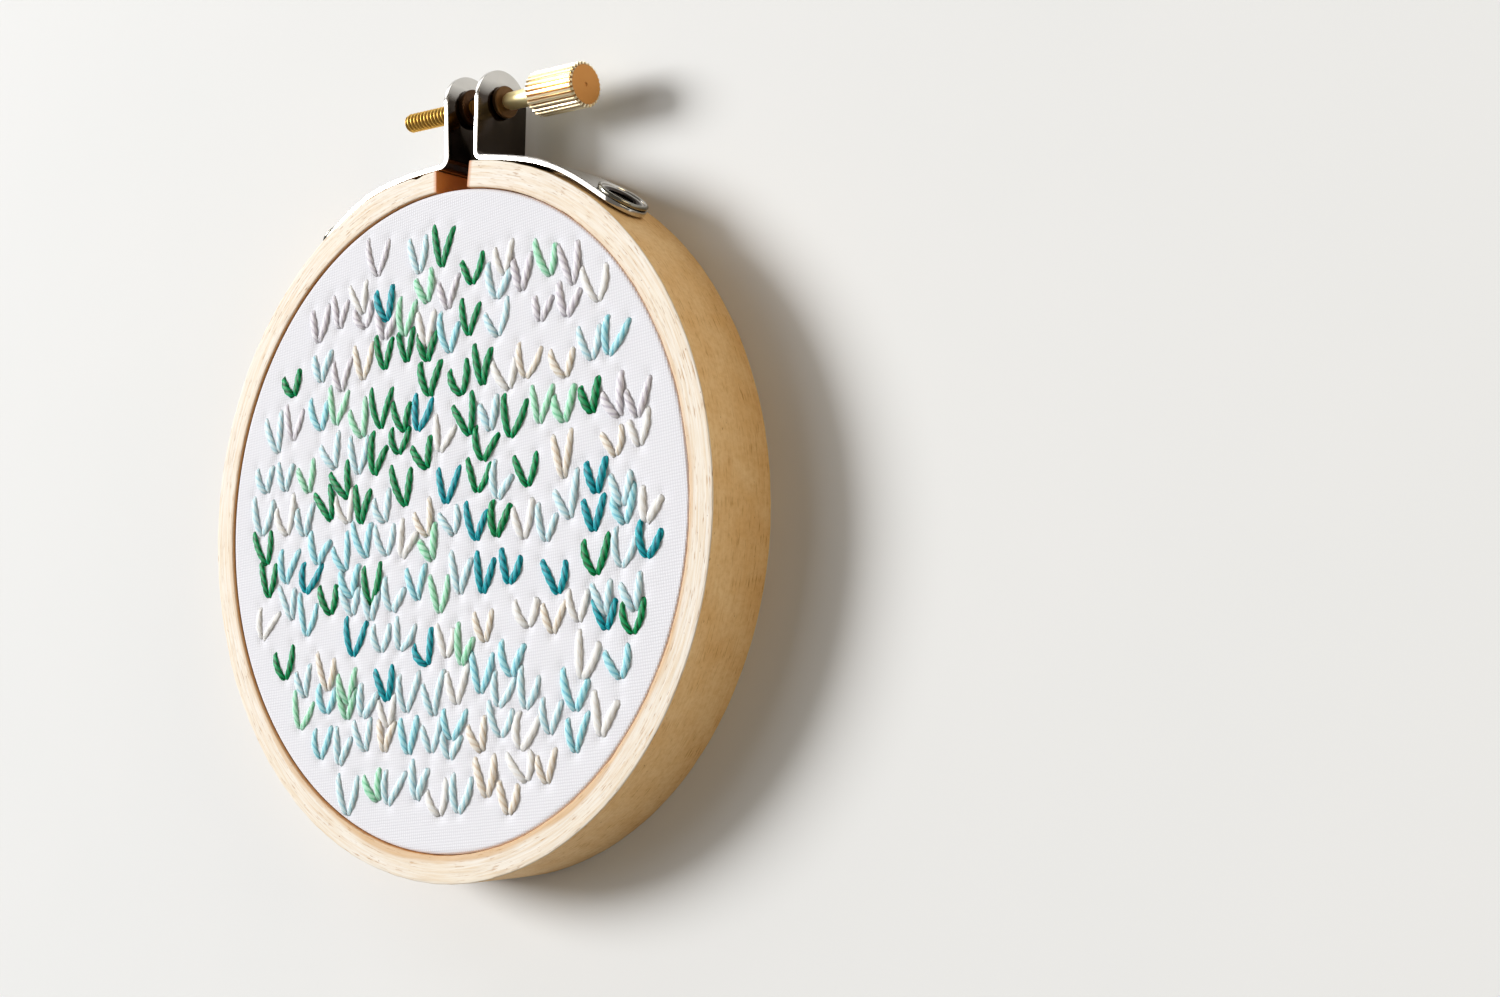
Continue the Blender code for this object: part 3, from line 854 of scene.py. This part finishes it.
def make_eyelet(name, side, material):
    """A rolled rim, level with the strap's round end, a funnel mouth and the tube through the wood."""
    under = RADIUS + EYELET_LIFT + STRIP_THICKNESS + 0.02 * MM
    roll = 0.26 * MM
    tube_end = RADIUS - WALL + 0.3 * MM
    rim = [(EYELET_RIM_RADIUS - 0.1 * MM, under)]
    rim += arc((EYELET_RIM_RADIUS - roll, under + roll), roll, 0, 2 * QUARTER, 12)
    throat = arc((2.72 * MM, under - 0.6 * MM), 0.9 * MM, QUARTER * 1.05, 2 * QUARTER, 8)
    tube = [(TUBE_RADIUS - 0.2 * MM, tube_end), (TUBE_RADIUS, tube_end), (TUBE_RADIUS, under)]
    profile = rim + throat + tube
    shape = lathe(profile, EYELET_STEPS, eyelet_frame(side), True)
    spots = []
    # Painted shade inside the eyelet, and a painted dark reflection on its outer band
    for r, h in profile:
        spots.append((0.0, float(r < 2.75 * MM and h < under + roll), float(r > 3.0 * MM)))
    shape.facts = {"spot": spots * EYELET_STEPS}
    obj = shape.build(name + "_rolled", material, 50)
    fix_normals(obj)
    place(obj, "nickel_steel", replaces=[name])


def along_screw():
    """The screw's own frame, Z along its axis towards the knob."""
    return Matrix.Translation(SCREW_MIDDLE) @ SCREW_WAY.to_track_quat("Z", "Y").to_matrix().to_4x4()


def make_nut(material):
    """The bush in the left ear, square to it: a flange inside, a neck and a lip outside."""
    path = BracketPath(-1)
    middle = path.at(path.length)[0]
    lean = EARS[-1][1]
    flange = STRIP_THICKNESS / 2 + 0.05 * MM
    bore = SCREW_RADIUS + 0.12 * MM
    wide, neck, lip = 2.3 * MM, 1.8 * MM, 2.2 * MM
    inside, outside = flange + 0.75 * MM, -flange - 0.45 * MM
    soft, round_lip = 0.15 * MM, 0.3 * MM
    profile = [(bore, inside)]
    profile += arc((wide - soft, inside - soft), soft, QUARTER, 0, 3)
    profile += [(wide, flange), (neck, flange), (neck, -flange), (lip, -flange)]
    profile += arc((lip - round_lip, outside + round_lip), round_lip, 0, -QUARTER, 4)
    profile += [(bore, outside)]
    matrix = Matrix.Translation(Vector((-middle.x, SCREW_MIDDLE.y, STRIP_Z)))
    matrix = matrix @ Matrix.Rotation(lean, 4, "Z") @ Matrix.Rotation(QUARTER, 4, "Y")
    obj = lathe(profile, TURNED_STEPS, matrix, True).build("nut_turned", material, 40)
    fix_normals(obj)
    place(obj, "brass", replaces=["nut"])


def make_screw(rod_material, shank_material, knob_material, collar_material):
    """The thread, the collar outside the right ear, the shank and the knob, along the screw."""
    low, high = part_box("screw")
    path = BracketPath(1)
    collar = path.at(path.length)[0].x + STRIP_THICKNESS / 2 + 0.15 * MM
    end = collar + 0.65 * MM
    edge, wide = 0.1 * MM, 1.95 * MM
    make_thread(low.x, collar + edge, rod_material)
    disc = [(0.6 * MM, collar), (wide - edge, collar), (wide, collar + edge)]
    disc += [(wide, end - edge), (wide - edge, end), (0.6 * MM, end)]
    shank = [(0.5 * MM, end - edge), (0.85 * MM, end - edge), (0.85 * MM, end + 0.35 * MM)]
    shank += [(1.05 * MM, end + 0.5 * MM), (1.15 * MM, KNOB_START + 0.3 * MM)]
    shank += [(0.5 * MM, KNOB_START + 0.3 * MM)]
    pieces = (("screw_collar", disc, collar_material), ("screw_shank", shank, shank_material))
    for name, profile, material in pieces:
        obj = lathe(profile, TURNED_STEPS, along_screw(), True).build(name, material, 40)
        fix_normals(obj)
        place(obj, "brass", "screw")
    make_knob(KNOB_START, high.x, knob_material)


def make_thread(tip, end, material):
    """A rod with a rolled thread, run out to a chamfered tip."""
    pitch = 0.62 * MM
    depth = 0.24 * MM
    outer = SCREW_RADIUS
    around, per_turn = 40, 8
    rows = int((end - tip) / pitch * per_turn)
    matrix = along_screw()
    shape = Shape()
    spots = []

    def point(i, j):
        angle = TURN * i / around
        height = tip + (end - tip) * j / (rows - 1)
        wave = (height / pitch - i / around) % 1.0
        crest = 1 - abs(2 * wave - 1)
        groove = max(0.0, min(1.0, crest * 1.5 - 0.2))
        radius = outer - depth * groove
        ease = min(1.0, (height - tip) / (0.45 * MM))
        radius = min(radius, outer - 0.42 * MM * (1 - ease))
        # The thread's grooves and its stretch between the ears get painted shade
        shade_between_ears = max(0.0, min(1.0, (height + 2.5 * MM) / MM))
        spots.append((max(0.75 * groove, 0.9 * shade_between_ears), 0, 0))
        return matrix @ Vector((radius * math.cos(angle), radius * math.sin(angle), height))

    shape.grid(around, rows, point, wrap_columns=True)
    shape.facts = {"spot": spots}
    shape.cap([i * rows for i in range(around)])
    shape.cap([i * rows + rows - 1 for i in range(around)][::-1])
    obj = shape.build("screw_thread", material, 70)
    fix_normals(obj)
    place(obj, "brass", "screw", replaces=["screw"])


def make_knob(start, end, material):
    """A knob with a straight knurl, chamfered ends and a centre dot on its face."""
    teeth, per_tooth = 28, 10
    around = teeth * per_tooth
    outer, depth = 2.7 * MM, 0.28 * MM
    chamfer = 0.22 * MM
    stations = [
        (start, 0.0, 0.5), (start, 1 - chamfer / outer, 1.0), (start + chamfer, 1.0, 1.0),
        (end - chamfer, 1.0, 1.0), (end, 1 - chamfer / outer * 1.3, 0.9), (end, 0.86, 0.0),
        (end, 0.5, 0.0), (end, 0.09, 0.0), (end - 0.12 * MM, 0.05, 0.0), (end - 0.14 * MM, 0.0, 0),
    ]
    shape = Shape()
    spots = []
    matrix = along_screw()

    def point(i, j):
        height, share, knurl = stations[j]
        angle = TURN * i / around
        wave = abs(2 * (i / per_tooth % 1.0) - 1)
        groove = max(0.0, 1 - wave * 1.7)
        radius = outer * share - depth * groove * knurl * (share > 0)
        # Knurl grooves get painted shade; the matt end gets its painted tan
        spots.append((groove * knurl, float(height >= end - 0.2 * MM and knurl == 0), 0))
        return matrix @ Vector((radius * math.cos(angle), radius * math.sin(angle), height))

    shape.grid(around, len(stations), point, wrap_columns=True)
    shape.facts = {"spot": spots}
    obj = shape.build("screw_knob", material, 30)
    fix_normals(obj, weld=True)
    place(obj, "brass", "screw")


# Stage


def make_stage():
    look = Look("pale_floor", Roughness=0.8, Specular_IOR_Level=0.15)
    tone = look.noise(look.place(), 30.0, 3.0)
    look.colour(look.mix(tone, linear("E4E5E5"), linear("E1E3E3")))
    mesh = bpy.data.meshes.new("floor")
    half = 3.0
    corners = [(-half, -half, 0), (half, -half, 0), (half, half, 0), (-half, half, 0)]
    mesh.from_pydata(corners, [], [(0, 1, 2, 3)])
    mesh.materials.append(look.material)
    floor = bpy.data.objects.new("floor", mesh)
    link(floor)


def aim(obj, target):
    obj.rotation_euler = (target - obj.location).to_track_quat("-Z", "Y").to_euler()


def soft_light(name, size, power, colour, spot):
    lamp = bpy.data.objects.new(name, bpy.data.lights.new(name, "AREA"))
    lamp.data.shape = "RECTANGLE"
    lamp.data.size = lamp.data.size_y = size
    lamp.data.energy = power
    lamp.data.color = colour
    lamp.location = spot
    aim(lamp, Vector((0, 0, 0)))
    return lamp


def make_lights():
    sun = bpy.data.objects.new("window_sun", bpy.data.lights.new("window_sun", "SUN"))
    sun.data.energy = 3.75
    sun.data.angle = math.radians(22)
    sun.data.color = (1.0, 0.99, 0.985)
    sun.location = (-1.0, 0.2, 0.68)
    aim(sun, Vector((0, 0, 0)))
    boxes = [
        soft_light("room_fill", 0.5, 2.7, (1.0, 0.82, 0.54), (0.9, 0.35, 0.16)),
        soft_light("soft_box", 0.5, 2.2, (1.0, 1.0, 1.0), (-0.6, 0.1, 0.75)),
        soft_light("side_window", 0.5, 1.6, (1.0, 1.0, 1.0), (-0.55, 0.6, 0.2)),
    ]
    for lamp in [sun] + boxes:
        link(lamp)
    world = bpy.data.worlds.new("studio")
    world.use_nodes = True
    back = world.node_tree.nodes["Background"]
    back.inputs["Color"].default_value = (1.0, 0.94, 0.86, 1)
    back.inputs["Strength"].default_value = 0.18
    bpy.context.scene.world = world
    bpy.context.scene.view_settings.view_transform = "Standard"


def make_camera():
    """The photograph's viewpoint, in the frame of the hoop as it lies on its back."""
    data = bpy.data.cameras.new("camera")
    data.sensor_width = 36
    data.lens = 46.85
    data.clip_start = 0.01
    camera = bpy.data.objects.new("camera", data)
    back = Vector((0.6296, -0.0626, 0.7744))
    up = Vector((0.0119, 0.9974, 0.0710))
    right = up.cross(back).normalized()
    turn = Matrix((right, back.cross(right), back)).transposed().to_4x4()
    front = CENTRE + Vector((0, 0, DEPTH))
    camera.matrix_world = Matrix.Translation(front + Vector((0.17555, -0.01092, 0.15685))) @ turn
    link(camera)
    bpy.context.scene.camera = camera


def main():
    beech = wood("pale_bent_beech", "ECE6DC", "EFCD98", "B4803F")
    outer = wooden_ring("outer_ring", RADIUS, WALL, DEPTH, beech, True, 3.0)
    drill(outer)
    place(outer, "beech", replaces=["outer_hoop"])
    inner = wooden_ring(
        "inner_ring", SHEET_RADIUS - 0.4 * MM, 3.6 * MM, CLOTH_TOP - 0.4 * MM, beech, False, 11.0
    )
    place(inner, "inner_beech", replaces=["inner_hoop"])
    arms = plan_stitches()
    make_stitches(arms)
    make_cloth(arms)
    plated = steel()
    make_bracket("bracket_left", -1, 1.9 * MM, plated)
    make_bracket("bracket_right", 1, SCREW_RADIUS + 0.2 * MM, plated)
    make_eyelet("eyelet_left", -1, plated)
    make_eyelet("eyelet_right", 1, plated)
    # The nut's dark brown is painted shade, where it sits between the ears
    shaded_nut_brass = brass("nut_brass_painted_shade", 0.3, "5E3F22", "3A2414", "2A1A0C")
    bright = brass("bright_brass", 0.45, "FFF6C8", "FFE8A4", "4A3012")
    rod = brass("thread_brass", 0.42, "FFDC74", "FFC458", "945E1C")
    make_nut(shaded_nut_brass)
    # The collar's darker brown is painted shade
    collar = brass("collar_brass", 0.36, "84623C", "4E3620", "4A3012")
    make_screw(rod, bright, brass("knob_brass", 0.32, "FFF8DC", "FFECBC", "C08838"), collar)
    make_stage()
    make_lights()
    make_camera()


main()
